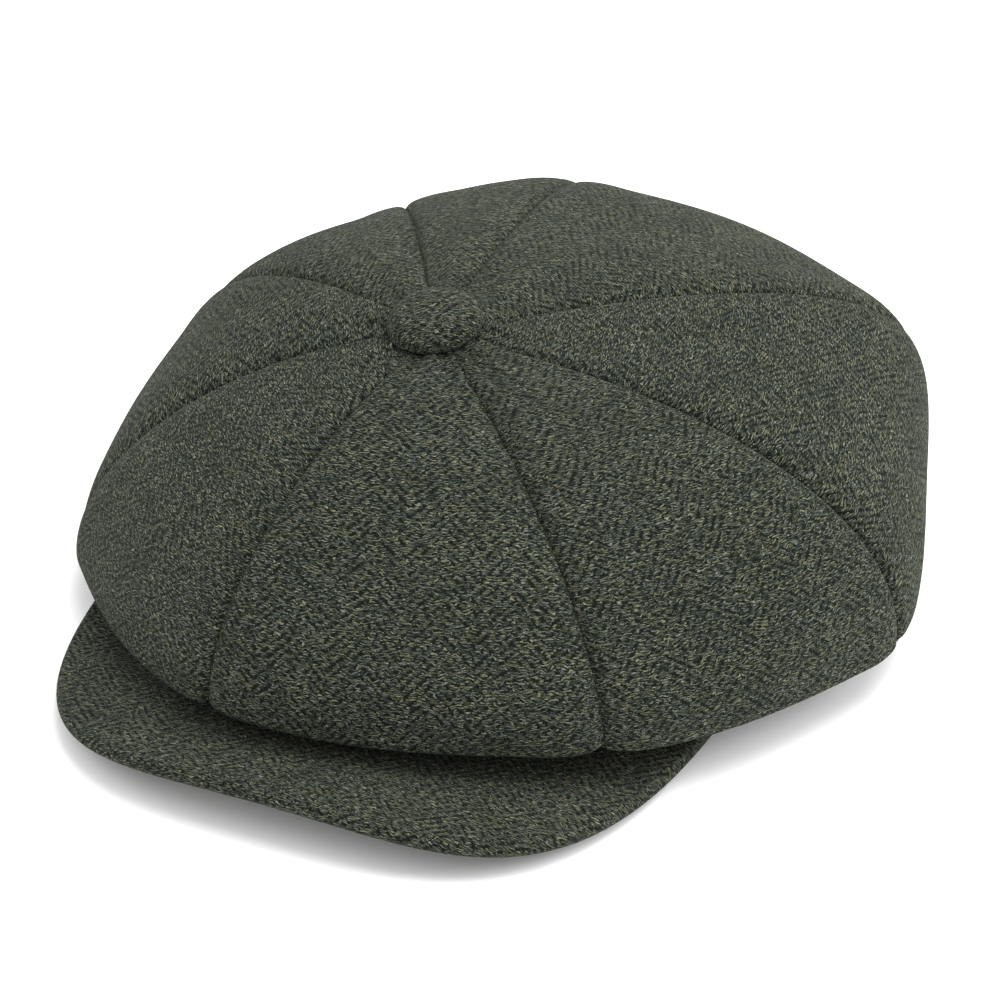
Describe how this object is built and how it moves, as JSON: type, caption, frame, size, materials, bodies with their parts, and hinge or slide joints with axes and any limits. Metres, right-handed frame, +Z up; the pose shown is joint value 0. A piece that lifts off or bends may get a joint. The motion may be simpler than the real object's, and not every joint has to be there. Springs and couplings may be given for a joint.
{
  "type": "newsboy cap",
  "caption": "Newsboy cap in dark green herringbone tweed: full gored crown slumped over its band, covered button on top and a short stiffened peak.",
  "frame": {"origin": "middle of the head opening, on the plane the band's lower edge lies on", "axes": "+Z up out of the crown; -Y to the front, where the peak points; +X to the wearer's left"},
  "size_m": [0.2287, 0.2683, 0.0898],
  "materials": {
    "tweed": "woven herringbone wool, dry and hairy",
    "satin_lining": "smooth satin",
    "cotton_tape": "ribbed cotton tape",
    "canvas": "stiff open canvas",
    "board": "smooth sheet",
    "steel": "stamped tin plate"
  },
  "bodies": {
    "cap": {"crown_panel_front": "tweed", "crown_panel_front_left": "tweed", "crown_panel_left": "tweed", "crown_panel_back_left": "tweed", "crown_panel_back": "tweed", "crown_panel_back_right": "tweed", "crown_panel_right": "tweed", "crown_panel_front_right": "tweed", "outer_band": "tweed", "band_interlining": "canvas", "sweatband": "cotton_tape", "lining_side": "satin_lining", "lining_top": "satin_lining", "button_cover": "tweed", "button_shell": "steel", "button_shank": "steel", "button_washer": "steel"},
    "peak": {"peak_board": "board", "peak_top_cover": "tweed", "peak_under_cover": "tweed"}
  },
  "joints": [
    {"name": "peak_tilt", "type": "hinge", "parent": "cap", "child": "peak", "pos_m": [0, -0.06, 0.004], "axis": [-1, 0, 0], "range_deg": [-3, 3], "stiffness_Nm_per_rad": 4}
  ]
}
